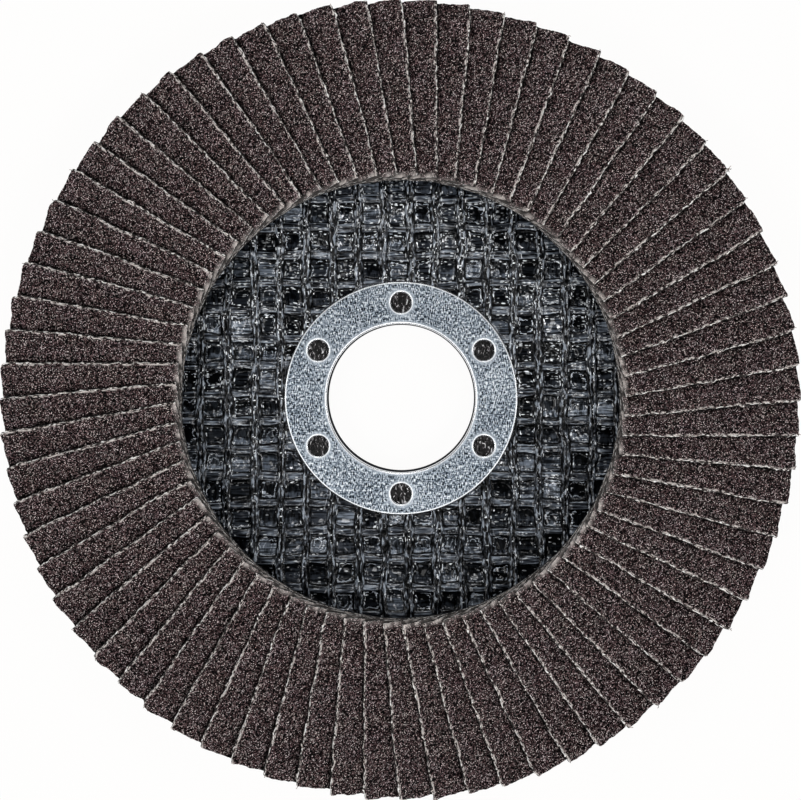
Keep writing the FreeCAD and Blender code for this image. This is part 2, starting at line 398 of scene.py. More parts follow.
# %% Material: glass fibre in black phenolic resin
laminate, tree = new_material("glass_fibre_in_black_phenolic")
place = node(tree, "TexCoord")
wander = node(tree, "TexNoise", {"Vector": place.outputs["Object"], "Scale": 1000 / 2.5, "Detail": 2.0})
wander = node(tree, "VectorMath", {0: wander.outputs["Color"], 1: (0.5, 0.5, 0.5)}, operation="SUBTRACT")
wander = node(tree, "VectorMath", {0: wander, 1: (0.45 * MM, 0.40 * MM, 0.0)}, operation="MULTIPLY")
on_cloth = node(tree, "Attribute", attribute_name="on_cloth")
moved = node(tree, "VectorMath", {0: on_cloth.outputs["Vector"], 1: wander})
moved = node(tree, "VectorMath", {0: moved, 1: (SHIFT_X * MM, SHIFT_Y * MM, 0.0)}, operation="SUBTRACT")
axes = node(tree, "SeparateXYZ", {0: moved})
from_x = node(tree, "Math", {0: axes, 1: PITCH_X / 2 * MM}, operation="PINGPONG")
from_y = node(tree, "Math", {0: axes.outputs[1], 1: PITCH_Y / 2 * MM}, operation="PINGPONG")
warp = node(tree, "MapRange", {0: from_x, 1: (HALF_X - 0.12) * MM, 2: (HALF_X + 0.15) * MM}, **SMOOTH)
weft = node(tree, "MapRange", {0: from_y, 1: (HALF_Y - 0.10) * MM, 2: (HALF_Y + 0.12) * MM}, **SMOOTH)
print("window grid: %.2f by %.2f mm" % (PITCH_X, PITCH_Y))

# %% [markdown]
# Each strand is a bundle of fibres that catch the light one by one. Noise stretched along
# the strand gives such streaks. They are 0.34 and 0.26 mm wide, coarser than real
# filaments, so that they show in the picture.

# %% Streaks along the strands
run_y = node(tree, "Mapping", {0: place.outputs["Object"], 3: (1000 / 0.34, 1000 / 1.2, 1000 / 2.0)})
run_x = node(tree, "Mapping", {0: place.outputs["Object"], 3: (1000 / 2.6, 1000 / 0.26, 1000 / 2.0)})
streak_y = node(tree, "TexNoise", {"Vector": run_y, "Scale": 1.0, "Detail": 2.0, "Distortion": 0.6})
streak_x = node(tree, "TexNoise", {"Vector": run_x, "Scale": 1.0, "Detail": 2.0})
warp_tone = node(tree, "ValToRGB", {0: streak_y},
                 stops=[(0.40, "060708"), (0.47, "1D1F23"), (0.55, "373B42"), (0.64, "98A0AB")])
weft_tone = node(tree, "ValToRGB", {0: streak_x},
                 stops=[(0.38, "090A0C"), (0.46, "272A30"), (0.55, "40454D"), (0.65, "848C97")])
print("colours of a strand:", len(warp_tone.color_ramp.elements))

# %% [markdown]
# No two windows look alike. In one the resin is a black pool, in the next it is so thin
# that the glass below shows, and where it dried in steps pale wavy lines are painted on the
# step edges, partly the resin's own steps and partly a painted highlight. A white noise node
# draws three numbers per window: how pale its painted step lines are, how much of the glass
# shows, and which way that glass runs.

# %% Resin in the windows
pool_noise = node(tree, "TexNoise", {"Vector": place.outputs["Object"], "Scale": 1000 / 1.0, "Detail": 2.0})
side_x = node(tree, "Math", {0: HALF_X * MM, 1: from_x}, operation="SUBTRACT")
side_y = node(tree, "Math", {0: HALF_Y * MM, 1: from_y}, operation="SUBTRACT")
inside = node(tree, "Math", {0: side_x, 1: side_y, 2: 0.5 * MM}, operation="SMOOTH_MIN")
waved = node(tree, "Math", {0: pool_noise, 1: 1.4 * MM, 2: inside}, operation="MULTIPLY_ADD")
outer = node(tree, "Math", {0: waved, 1: (0.32 + 0.70) * MM, 2: 0.07 * MM}, operation="COMPARE")
inner = node(tree, "Math", {0: waved, 1: (0.80 + 0.70) * MM, 2: 0.07 * MM}, operation="COMPARE")
half_pitch = node(tree, "VectorMath", {0: moved, 1: (PITCH_X / 2 * MM, PITCH_Y / 2 * MM, 0.0)})
window = node(tree, "VectorMath", {0: half_pitch, 1: (PITCH_X * MM, PITCH_Y * MM, 1.0)}, operation="SNAP")
lot = node(tree, "TexWhiteNoise", {"Vector": window})
lots = node(tree, "SeparateXYZ", {0: lot.outputs["Color"]})
twice = node(tree, "Math", {0: lots.outputs[1], 1: 0.72}, operation="GREATER_THAN")
inner = node(tree, "Math", {0: inner, 1: twice}, operation="MULTIPLY")
steps = node(tree, "Math", {0: outer, 1: inner}, operation="MAXIMUM")
broken = node(tree, "MapRange", {0: streak_x, 1: 0.46, 2: 0.56}, **SMOOTH)
steps = node(tree, "Math", {0: steps, 1: broken}, operation="MULTIPLY")
step_highlight_share = node(tree, "MapRange", {0: lots, 1: 0.35, 2: 1.0, 3: 0.0, 4: 0.9})
steps = node(tree, "Math", {0: steps, 1: step_highlight_share}, operation="MULTIPLY")
along = node(tree, "Math", {0: axes.outputs[1], 1: PITCH_Y / 2 * MM, 2: -PITCH_Y / 2 * MM},
             operation="WRAP")
along = node(tree, "Math", {0: pool_noise, 1: 2.2 * MM, 2: along}, operation="MULTIPLY_ADD")
along = node(tree, "Math", {0: lots.outputs[2], 1: 2.0 * MM, 2: along}, operation="MULTIPLY_ADD")
near_end = node(tree, "MapRange", {0: along, 1: 2.3 * MM, 2: 1.9 * MM, 3: 0.14, 4: 1.0}, **SMOOTH)
ground = node(tree, "ValToRGB", {0: lots.outputs[1]},
              stops=[(0.0, "0D0F12"), (0.45, "2B2F36"), (0.80, "464C55"), (1.0, "747C87")])
ground = node(tree, "Mix", {0: 1.0, 6: ground, 7: near_end}, **TIMES)
fibres = node(tree, "Mix", {0: lots.outputs[2], 2: streak_x, 3: streak_y})
fibres = node(tree, "MapRange", {0: fibres, 1: 0.42, 2: 0.60, 3: 0.15, 4: 1.7})
ground = node(tree, "Mix", {0: 1.0, 6: ground.outputs[2], 7: fibres}, **TIMES)
# painted highlight: the step lines are mixed towards pale blue grey
pool_tone = node(tree, "Mix", {0: steps, 6: ground.outputs[2], 7: linear("C2CAD6")}, **COLOURS)
print("window: %.2f by %.2f mm" % (2 * HALF_X, 2 * HALF_Y))

# %% [markdown]
# Each window, each weft and both sides of each warp strand end in black: partly the deep
# black resin there and partly painted shade in the gaps between them. From above, that dark
# line is what sets the strands apart.

# %% Dark resin and painted shade round windows and strands
# painted shade: black at the rim of each window and along both edges of each weft
clear = node(tree, "MapRange", {0: inside, 1: 0.03 * MM, 2: 0.16 * MM}, **SMOOTH)
pool_tone = node(tree, "Mix", {0: 1.0, 6: pool_tone.outputs[2], 7: clear}, **TIMES)
clear = node(tree, "MapRange", {0: side_y, 1: -0.02 * MM, 2: -0.15 * MM}, **SMOOTH)
weft_tone = node(tree, "Mix", {0: 1.0, 6: weft_tone, 7: clear}, **TIMES)
tone = node(tree, "Mix", {0: weft, 6: pool_tone.outputs[2], 7: weft_tone.outputs[2]}, **COLOURS)
# each warp strand sways, and is painted black on both sides, as shade in the slots beside it
sway = node(tree, "Math", {0: pool_noise, 1: 0.9 * MM, 2: (HALF_X - 0.13) * MM}, operation="MULTIPLY_ADD")
aside = node(tree, "Math", {0: from_x, 1: sway}, operation="SUBTRACT")
aside = node(tree, "Math", {0: aside}, operation="ABSOLUTE")
warp_side_shade = node(tree, "MapRange", {0: aside, 1: 0.17 * MM, 2: 0.30 * MM, 3: 1.0, 4: 0.05}, **SMOOTH)
shaded_warp_tone = node(tree, "Mix", {0: 1.0, 6: warp_tone, 7: warp_side_shade}, **TIMES)
tone = node(tree, "Mix", {0: warp, 6: tone.outputs[2], 7: shaded_warp_tone.outputs[2]}, **COLOURS)
print("strand pair: %.2f mm wide" % YARN)

# %% [markdown]
# The white flecks, in clusters, are partly broken filaments that end at the surface and
# partly painted glints of the wet resin. Each is one cell of a stretched Voronoi pattern,
# 0.25 by 0.75 mm, upright beside the warp and level elsewhere, and a broader noise decides
# which cells show.

# %% White filament ends and painted glints
upright = node(tree, "Mapping", {0: moved, 2: (0.0, 0.0, 0.2), 3: (1000 / 0.25, 1000 / 0.75, 1000 / 0.4)})
level = node(tree, "Mapping", {0: moved, 3: (1000 / 0.75, 1000 / 0.25, 1000 / 0.4)})
by_warp = node(tree, "Math", {0: from_x, 1: (HALF_X + 0.05) * MM, 2: 0.42 * MM}, operation="COMPARE")
long_x = node(tree, "Mix", {0: by_warp, 4: level, 5: upright}, data_type="VECTOR")
beads = node(tree, "TexVoronoi", {"Vector": long_x.outputs[1], "Scale": 1.0})
bead_lot = node(tree, "SeparateXYZ", {0: beads.outputs["Color"]})
clusters = node(tree, "TexNoise", {"Vector": place.outputs["Object"], "Scale": 1000 / 2.2, "Detail": 2.0})
fleck_and_glint_density = node(tree, "Math", {0: clusters, 1: 1.6, 2: bead_lot}, operation="MULTIPLY_ADD")
# more flecks over the far half of the face: painted glints, where the near-side lamps catch it
far = node(tree, "MapRange", {0: axes.outputs[1], 1: -6.0 * MM, 2: 12.0 * MM, 3: 0.0, 4: 0.24})
fleck_and_glint_density = node(tree, "Math", {0: fleck_and_glint_density, 1: far})
picked = node(tree, "MapRange", {0: fleck_and_glint_density, 1: 1.71, 2: 1.78})
bead = node(tree, "MapRange", {0: beads, 1: 0.44, 2: 0.30})
bead = node(tree, "Math", {0: picked, 1: bead}, operation="MULTIPLY")
middle = node(tree, "MapRange", {0: inside, 1: 0.35 * MM, 2: 0.70 * MM, 3: 1.0, 4: 0.25})
weft_share = node(tree, "MapRange", {0: weft, 3: 1.0, 4: 0.6})
inward = node(tree, "Math", {0: middle, 1: weft_share}, operation="MULTIPLY")
bead = node(tree, "Math", {0: bead, 1: inward}, operation="MULTIPLY")
# the flecks are painted near white: filament ends and painted glints
tone = node(tree, "Mix", {0: bead, 6: tone.outputs[2], 7: linear("F4F8FC")}, **COLOURS)
print("nodes so far:", len(tree.nodes))

# %% [markdown]
# The moulded outer wall shows the cloth layers edge on, as level streaks. Pale fibres also
# reflect more than dark resin does, so the reflection follows how bright the colour is.

# %% Outer wall and shader of the laminate
strand = node(tree, "Math", {0: warp, 1: weft}, operation="MAXIMUM")
gloss = node(tree, "MapRange", {0: strand, 3: 0.08, 4: 0.16})
layers = node(tree, "Mapping", {0: place.outputs["Object"], 3: (1000 / 1.5, 1000 / 1.5, 1000 / 0.35)})
layers = node(tree, "TexNoise", {"Vector": layers, "Scale": 1.0, "Detail": 2.0})
layer_tone = node(tree, "ValToRGB", {0: layers},
                  stops=[(0.40, "0B0C0D"), (0.52, "1F2124"), (0.60, "34363A"), (0.68, "6C6E70")])
facing = node(tree, "SeparateXYZ", {0: place.outputs["Normal"]})
upright = node(tree, "Math", {0: facing.outputs[2]}, operation="ABSOLUTE")
upright = node(tree, "Math", {0: upright, 1: 0.5}, operation="LESS_THAN")
from_axis = node(tree, "VectorMath", {0: place.outputs["Object"]}, operation="LENGTH")
outermost = node(tree, "Math", {0: from_axis.outputs[1], 1: (PLATE_EDGE - 1.0) * MM},
                 operation="GREATER_THAN")
wall = node(tree, "Math", {0: upright, 1: outermost}, operation="MULTIPLY")
tone = node(tree, "Mix", {0: wall, 6: tone.outputs[2], 7: layer_tone}, **COLOURS)
shine = node(tree, "RGBToBW", {0: tone.outputs[2]})
shine = node(tree, "MapRange", {0: shine, 1: 0.003, 2: 0.04, 3: 0.10, 4: 0.60})
fibre = node(tree, "Mix", {0: warp, 2: streak_x, 3: streak_y})
fibre = node(tree, "Math", {0: strand, 1: fibre}, operation="MULTIPLY")
bump = node(tree, "Bump", {"Strength": 1.0, "Distance": 0.08 * MM, "Height": fibre})
shader = node(tree, "BsdfPrincipled", {"Base Color": tone.outputs[2], "Roughness": gloss, "IOR": 1.6,
                                       "Specular IOR Level": shine, "Normal": bump})
node(tree, "OutputMaterial", {"Surface": shader})
plate = finished("woven_plate", plate_mesh, [laminate], ["backing_plate"])
print("plate piece:", plate.name)

# %% [markdown]
# The front ring is pressed from sheet steel: a flange with six holes, and a neck that
# turns down into the bore. Its face is filled between drawn circles, each circle is
# then extruded along a quarter arc to give the rolled edge, the bend into the bore and
# the eased hole mouths, and the walls run on down until the underside closes the mesh.

# %% Sizes of the front ring
BORE, FLANGE, FACE, SHEET = 11.115, 17.5, 5.0, 0.8
NECK = BORE + SHEET
UNDERSIDE = FACE - SHEET
LIP, ROLL, HOLE_ROLL = 0.3, 0.3, 0.28        # radii of the bend into the bore, the rim, the hole mouths
HOLE_CIRCLE, HOLE = 14.3075, 1.5
hole_centres = [(HOLE_CIRCLE * math.cos(a), HOLE_CIRCLE * math.sin(a))
                for a in (math.pi / 2 + i * math.pi / 3 for i in range(6))]


def circle(bm, radius, height, centre=(0.0, 0.0), segments=192):
    """Edges of a circle that lies level."""
    made = bmesh.ops.create_circle(bm, cap_ends=False, segments=segments, radius=radius,
                                   matrix=Matrix.Translation((centre[0], centre[1], height)))
    rim = set(made["verts"])
    return [e for e in bm.edges if e.verts[0] in rim and e.verts[1] in rim]


def extruded(bm, rim, centre, stations):
    """Extrude a rim through (radius, height) stations. Gives the last rim."""
    for radius, height in stations:
        verts, rim = extrude_rim(bm, rim)
        for v in verts:
            out = Vector((v.co.x - centre[0], v.co.y - centre[1])).normalized() * radius
            v.co = (centre[0] + out.x, centre[1] + out.y, height)
    return rim


def quarter(radius, height, ease, grow):
    """Stations of a rolled edge, from the level face to the upright wall."""
    turn = [math.pi / 2 * i / 5 for i in range(1, 6)]
    return [(radius + grow * ease * math.sin(a), height - ease * (1 - math.cos(a))) for a in turn]


print("holes:", len(hole_centres), "on a circle of %.1f mm" % (2 * HOLE_CIRCLE))

# %% Build the front ring
bm = bmesh.new()
outer = circle(bm, FLANGE - ROLL, FACE)
inner = circle(bm, BORE + LIP, FACE)
mouths = [circle(bm, HOLE + HOLE_ROLL, FACE, centre, 48) for centre in hole_centres]
bmesh.ops.triangle_fill(bm, use_beauty=True, use_dissolve=False, edges=bm.edges[:])
wall = quarter(FLANGE - ROLL, FACE, ROLL, 1) + [(FLANGE, UNDERSIDE)]
low_rims = extruded(bm, outer, (0, 0), wall)
wall = quarter(HOLE + HOLE_ROLL, FACE, HOLE_ROLL, -1) + [(HOLE, UNDERSIDE)]
for mouth, centre in zip(mouths, hole_centres):
    low_rims += extruded(bm, mouth, centre, wall)
wall = quarter(BORE + LIP, FACE, LIP, -1)
wall += [(BORE, 0.15), (BORE + 0.15, 0.0), (NECK + 0.5, 0.0), (NECK, 0.5), (NECK, UNDERSIDE)]
low_rims += extruded(bm, inner, (0, 0), wall)
bmesh.ops.triangle_fill(bm, use_beauty=True, use_dissolve=False, edges=low_rims)
bmesh.ops.recalc_face_normals(bm, faces=bm.faces[:])
open_edges = [e for e in bm.edges if len(e.link_faces) != 2]
for face in bm.faces:
    face.smooth = abs(face.normal.z) < 0.999
ring_mesh = bpy.data.meshes.new("ring")
bm.to_mesh(ring_mesh)
bm.free()
print("front ring: %d triangles, %d open edges" % (triangles(ring_mesh), len(open_edges)))

# %% [markdown]
# The rings' finish is zinc plated sheet steel, tumbled in a drum. Zinc grows in fine
# upright spangles here, some slate and some nearly white, and the press has burnished the
# metal smooth round each hole and along the rims, where a near-white highlight is painted
# as well. The distance to the nearest hole is worked out from Object coordinates, folded
# six times round the axis.

# %% Material: zinc plated steel
zinc, tree = new_material("zinc_plated_steel_tumbled")
place = node(tree, "TexCoord")
axes = node(tree, "SeparateXYZ", {0: place.outputs["Object"]})
level = node(tree, "CombineXYZ", {0: axes, 1: axes.outputs[1], 2: 0.0})
reach = node(tree, "VectorMath", {0: level}, operation="LENGTH")
angle = node(tree, "Math", {0: axes, 1: axes.outputs[1]}, operation="ARCTAN2")
angle = node(tree, "Math", {0: angle, 1: math.pi / 6}, operation="PINGPONG")
cosine = node(tree, "Math", {0: angle}, operation="COSINE")
sine = node(tree, "Math", {0: angle}, operation="SINE")
near_x = node(tree, "Math", {0: reach.outputs[1], 1: sine}, operation="MULTIPLY")
near_y = node(tree, "Math", {0: reach.outputs[1], 1: cosine, 2: -HOLE_CIRCLE * MM},
              operation="MULTIPLY_ADD")
near = node(tree, "CombineXYZ", {0: near_x, 1: near_y, 2: 0.0})
near = node(tree, "VectorMath", {0: near}, operation="LENGTH")
round_hole = node(tree, "MapRange", {0: near.outputs[1], 1: (HOLE + 0.2) * MM, 2: (HOLE + 1.0) * MM,
                                     3: 0.75, 4: 0.0}, **SMOOTH)
round_bore = node(tree, "MapRange", {0: reach.outputs[1], 1: 11.5 * MM, 2: 11.9 * MM, 3: 0.6, 4: 0.0},
                  **SMOOTH)
pressed = node(tree, "Math", {0: round_hole, 1: round_bore}, operation="MAXIMUM")
print("burnished round", len(hole_centres), "holes")

# %% [markdown]
# The spangles are noise stretched upwards, 0.16 by 0.5 mm, mixed with a fainter one that
# is stretched sideways, which gives zinc its crossed look under a lamp. A broad faint
# cloud makes some parts of the ring paler than others.

# %% Zinc spangles
stretch = node(tree, "Mapping", {0: place.outputs["Object"], 3: (1000 / 0.16, 1000 / 0.50, 1000 / 0.5)})
cross = node(tree, "Mapping", {0: place.outputs["Object"], 3: (1000 / 0.50, 1000 / 0.18, 1000 / 0.5)})
spangle = node(tree, "TexNoise", {"Vector": stretch, "Scale": 1.0, "Detail": 3.0, "Roughness": 0.5})
level = node(tree, "TexNoise", {"Vector": cross, "Scale": 1.0, "Detail": 2.0})
woven = node(tree, "Mix", {0: 0.35, 2: spangle, 3: level})
cloud = node(tree, "TexNoise", {"Vector": place.outputs["Object"], "Scale": 1000 / 4.0, "Detail": 2.0})
cloud = node(tree, "Math", {0: cloud, 1: 0.10, 2: -0.05}, operation="MULTIPLY_ADD")
pattern = node(tree, "Math", {0: woven, 1: cloud})
metal = node(tree, "ValToRGB", {0: pattern},
             stops=[(0.40, "0E1318"), (0.46, "505C68"), (0.53, "B0BCC9"), (0.60, "FAFDFF")])
smooth = node(tree, "Mix", {0: pressed, 6: metal, 7: linear("C4CED9")}, **COLOURS)
print("colours of the zinc:", len(metal.color_ramp.elements))

# %% [markdown]
# Tumbling has polished every rim, and each rim is painted near white as a highlight. The
# wall of the bore below its lip is painted dark as shade, and Metallic and the reflection
# are turned down with this painted shade.

# %% Painted rim highlights, painted bore shade and shader of the zinc
facing = node(tree, "SeparateXYZ", {0: place.outputs["Normal"]})
level = node(tree, "Math", {0: facing.outputs[2]}, operation="ABSOLUTE")
# painted highlight: rolled edges and the rim, hole and bore lips are painted near white
rolled = node(tree, "MapRange", {0: level, 1: 0.985, 2: 0.90}, **SMOOTH)
rim = node(tree, "MapRange", {0: reach.outputs[1], 1: (FLANGE - 0.40) * MM, 2: (FLANGE - 0.25) * MM})
hole_rim = node(tree, "MapRange", {0: near.outputs[1], 1: (HOLE + 0.42) * MM, 2: (HOLE + 0.26) * MM})
bore_rim = node(tree, "MapRange", {0: reach.outputs[1], 1: 11.50 * MM, 2: 11.38 * MM})
rim_highlight = node(tree, "Math", {0: hole_rim, 1: bore_rim}, operation="MAXIMUM")
rim_highlight = node(tree, "Math", {0: rim_highlight, 1: rim}, operation="MAXIMUM")
rim_highlight = node(tree, "Math", {0: rim_highlight, 1: rolled}, operation="MAXIMUM")
bright = node(tree, "Mix", {0: rim_highlight, 6: smooth.outputs[2], 7: linear("FAFCFF")}, **COLOURS)
# painted shade: the bore wall below its lip is painted dark and loses its metal reflection
below = node(tree, "MapRange", {0: axes.outputs[2], 1: 4.75 * MM, 2: 4.45 * MM, 3: 0.0, 4: 1.0})
within = node(tree, "Math", {0: reach.outputs[1], 1: 11.3 * MM}, operation="LESS_THAN")
bore_shade = node(tree, "Math", {0: below, 1: within}, operation="MULTIPLY")
bore_shaded = node(tree, "Mix", {0: bore_shade, 6: bright.outputs[2], 7: linear("34363A")}, **COLOURS)
dull = node(tree, "MapRange", {0: pattern, 1: 0.38, 2: 0.60, 3: 0.42, 4: 0.60})
polished = node(tree, "Mix", {0: rolled, 2: dull, 3: 0.24})
bump = node(tree, "Bump", {"Strength": 0.6, "Distance": 0.05 * MM, "Height": pattern})
unshaded = node(tree, "Math", {0: 1.0, 1: bore_shade}, operation="SUBTRACT")
matt = node(tree, "Math", {0: unshaded, 1: 0.5}, operation="MULTIPLY")
shader = node(tree, "BsdfPrincipled", {"Base Color": bore_shaded.outputs[2], "Metallic": unshaded,
                                       "Roughness": polished, "Normal": bump, "Specular IOR Level": matt})
node(tree, "OutputMaterial", {"Surface": shader})
front_ring = finished("front_flange_ring", ring_mesh, [zinc], ["front_ring"])
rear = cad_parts["rear_ring"]
rear.data.materials.clear()
rear.data.materials.append(zinc)
print("zinc on", front_ring.name, "and", rear.name)

# %% [markdown]
# Resin has risen into the six holes and set a little below the face, nearly black and
# glossy, with stray glass ends in it that are partly painted glints. Each fill is a disc that
# is inset three times and raised slightly in the middle, then given a wall that reaches down
# into the plate.

# %% Resin in the holes
FILL_TOP, FILL_WALL, FILL_GAP = 4.6, 1.2, 0.04
bm = bmesh.new()
for centre in hole_centres:
    made = bmesh.ops.create_circle(bm, cap_ends=True, segments=40, radius=HOLE - FILL_GAP,
                                   matrix=Matrix.Translation((centre[0], centre[1], FILL_TOP)))
    cap = [f for f in bm.faces if all(v in made["verts"] for v in f.verts)]
    rim = list(cap[0].edges)
    for width in (0.25, 0.35, 0.35):
        bmesh.ops.inset_region(bm, faces=cap, thickness=width, depth=0.05, use_even_offset=True)
    low, rim = extrude_rim(bm, rim)
    bmesh.ops.translate(bm, vec=(0, 0, -FILL_WALL), verts=low)
    bmesh.ops.contextual_create(bm, geom=rim)
bmesh.ops.recalc_face_normals(bm, faces=bm.faces[:])
fill_mesh = bpy.data.meshes.new("fill")
bm.to_mesh(fill_mesh)
bm.free()

print("fills: %d triangles" % triangles(fill_mesh))

# %% [markdown]
# The finish is phenolic resin, poured and cured. It is nearly black where it is deep and
# smooth as glass where it set in the open. Its pale flecks are partly stray glass ends and
# partly painted glints, so its noise is stretched like short fibres and pushed out of shape.

# %% Material: cured bonding resin
resin, tree = new_material("cured_brown_bonding_resin")
place = node(tree, "TexCoord")
strands = node(tree, "Mapping", {0: place.outputs["Object"], 2: (0.0, 0.0, 0.5),
                                 3: (1000 / 0.35, 1000 / 0.8, 1000 / 1.0)})
lumps = node(tree, "TexNoise", {"Vector": strands, "Scale": 1.0, "Detail": 3.0, "Distortion": 1.2})
# the palest stops are partly glass ends and partly painted glints
tone = node(tree, "ValToRGB", {0: lumps},
            stops=[(0.44, "030303"), (0.55, "120F10"), (0.62, "4E494B"), (0.68, "DAD8DA")])
bump = node(tree, "Bump", {"Strength": 0.8, "Distance": 0.3 * MM, "Height": lumps})
shader = node(tree, "BsdfPrincipled", {"Base Color": tone, "Roughness": 0.18, "IOR": 1.55,
                                       "Specular IOR Level": 0.18, "Normal": bump})
node(tree, "OutputMaterial", {"Surface": shader})
fills = finished("resin_in_holes", fill_mesh, [resin])
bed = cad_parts["adhesive_bed"]
bed.data.materials.clear()
bed.data.materials.append(resin)
print("resin on", fills.name, "and", bed.name)

# %% [markdown]
# The flaps are coarse abrasive cloth: brown aluminium oxide grain glued to a woven
# backing. Only a strip beside each raised edge shows, because the next flap covers the
# rest, so that strip is a fine grid and the covered part is plain. The grid is drawn
# once, its open left side is extruded to the full width, the outline is extruded
# downwards in four steps for the cut sides, and one face closes the back.

# %% Sizes of a flap
FLAPS, LENGTH, WIDTH, THICK = 72, 25.2, 18.0, 0.85
INNER_END, FREE_EDGE, SEAT = 31.66, 5.3, 7.52
LEAN = math.radians(19.19)
LOW_EDGE = FREE_EDGE - WIDTH * math.cos(LEAN)
STRIP = 6.4                          # width of the fine grid, beside the raised edge
FIRST_STEP = 3.0                     # width of the next, plain strip
COLUMNS, ROWS, LAYERS = 26, 104, 4
CUT_SIDE, BACK = 1, 2                # material numbers, with the grain as number 0

# %% Draw one flap flat
bm = bmesh.new()
bmesh.ops.create_grid(bm, x_segments=COLUMNS, y_segments=ROWS, size=0.5)
bmesh.ops.scale(bm, vec=(STRIP, LENGTH, 1.0), verts=bm.verts[:])
bmesh.ops.translate(bm, vec=(WIDTH - STRIP / 2, LENGTH / 2, THICK), verts=bm.verts[:])
left = [e for e in bm.edges
        if e.is_boundary and all(abs(v.co.x - (WIDTH - STRIP)) < 1e-4 for v in e.verts)]
for step in (FIRST_STEP, WIDTH - STRIP - FIRST_STEP):
    moved, left = extrude_rim(bm, left)
    bmesh.ops.translate(bm, vec=(-step, 0, 0), verts=moved)
rim = [e for e in bm.edges if e.is_boundary]
for _ in range(LAYERS):
    before = set(bm.faces)
    moved, rim = extrude_rim(bm, rim)
    bmesh.ops.translate(bm, vec=(0, 0, -THICK / LAYERS), verts=moved)
    for face in set(bm.faces) - before:
        face.material_index = CUT_SIDE
for face in bmesh.ops.contextual_create(bm, geom=rim)["faces"]:
    face.material_index = BACK
bmesh.ops.recalc_face_normals(bm, faces=bm.faces[:])
if max(bm.faces, key=lambda f: f.calc_area()).normal.z > 0:
    bmesh.ops.reverse_faces(bm, faces=bm.faces[:])
for face in bm.faces:
    face.smooth = face.material_index == CUT_SIDE
one_flap = bpy.data.meshes.new("one_flap")
bm.to_mesh(one_flap)
bm.free()
print("one flap: %d vertices, %d triangles" % (len(one_flap.vertices), triangles(one_flap)))

# %% [markdown]
# Each flap is one cut piece of cloth, so no two edges match. A seeded random source per
# flap gives its own waver to the cut edges, lets tufts of yarn bulge out of the sides,
# wears the free corner round, and throws the grain of the face up and down by about a
# tenth of a millimetre. Two flaps share one piece, as they share one CAD node.

# %% Give each flap its own edges and grain
flat = np.empty(len(one_flap.vertices) * 3)
one_flap.vertices.foreach_get("co", flat)
flat = flat.reshape(-1, 3)
on_top = flat[:, 2] > THICK - 1e-4
depth = 1 - flat[:, 2] / THICK


def waver(source, along, pitch, size):
    """A smooth random line: one random value every pitch mm, up to size mm either way."""
    knots = np.arange(-pitch, max(LENGTH, WIDTH) + 2 * pitch, pitch)
    values = source.uniform(-size, size, len(knots))
    place = (along - knots[0]) / pitch
    low = np.clip(np.floor(place).astype(int), 0, len(knots) - 2)
    t = place - low
    t = t * t * (3 - 2 * t)
    return values[low] * (1 - t) + values[low + 1] * t


print("flat flap: %d of %d vertices on top" % (on_top.sum(), len(flat)))


# %% Cut one flap
def cut_flap(number):
    """Points of one flap in the disc's place, in mm."""
    source = np.random.default_rng(4100 + number)
    x, y, z = flat.T.copy()
    layer = 4 * depth * (1 - depth)          # 1 half way down the side, 0 at both skins
    near_free = fade(WIDTH - 1.0, WIDTH, flat[:, 0])
    near_out = fade(LENGTH - 0.8, LENGTH, flat[:, 1])
    near_in = fade(0.8, 0.0, flat[:, 1])
    # the raised edge wavers, and tufts of yarn bulge out of its side
    drift = waver(source, y, 3.0, 0.10) + waver(source, y, 0.6, 0.08) + source.uniform(-0.04, 0.04, len(x))
    x += near_free * drift
    on_side = flat[:, 0] > WIDTH - 1e-4
    tuft = 0.02 + 0.22 * np.clip(waver(source, y, 0.5, 1.0), 0, 1) ** 2 + 0.06 * source.random(len(x))
    x += on_side * layer * tuft
    # so do the outer and the inner end
    y += near_out * (waver(source, x, 1.5, 0.14) + waver(source, x, 0.5, 0.05))
    slant = 0.008 * (WIDTH - flat[:, 0])
    y += near_in * (waver(source, x, 1.2, 0.08) + source.uniform(-0.05, 0.05) - slant)
    at_end = flat[:, 1] > LENGTH - 1e-4
    y += at_end * layer * 0.10 * source.random(len(x))
    # the free corner is worn round, the face is thrown up and down by its grain
    corner = fade(WIDTH - 1.1, WIDTH, flat[:, 0]) * fade(LENGTH - 1.1, LENGTH, flat[:, 1])
    x -= corner * 0.30 * source.uniform(0.3, 1.2)
    y -= corner * 0.10 * source.uniform(0.0, 1.2)
    z += on_top * (source.random(len(x)) ** 1.5 * 0.20 - 0.06)
    z += near_free * np.clip(waver(source, y, 4.0, 0.12), 0, 1)
    # lean, seat and turn into place
    across = LOW_EDGE + x * math.cos(LEAN) - z * math.sin(LEAN)
    height = SEAT + x * math.sin(LEAN) + z * math.cos(LEAN)
    out = INNER_END + y
    turn = 2 * math.pi / FLAPS * number
    return np.stack([across * math.cos(turn) + out * math.sin(turn),
                     out * math.cos(turn) - across * math.sin(turn), height], 1)


first = cut_flap(0)
print("flap 0 spans", first.min(0).round(2), "to", first.max(0).round(2))

# %% [markdown]
# Two marks are stored per point for the material to read: where the coat has broken off
# along the raised edge and at the inner end, and where the next flap's edge shades it.


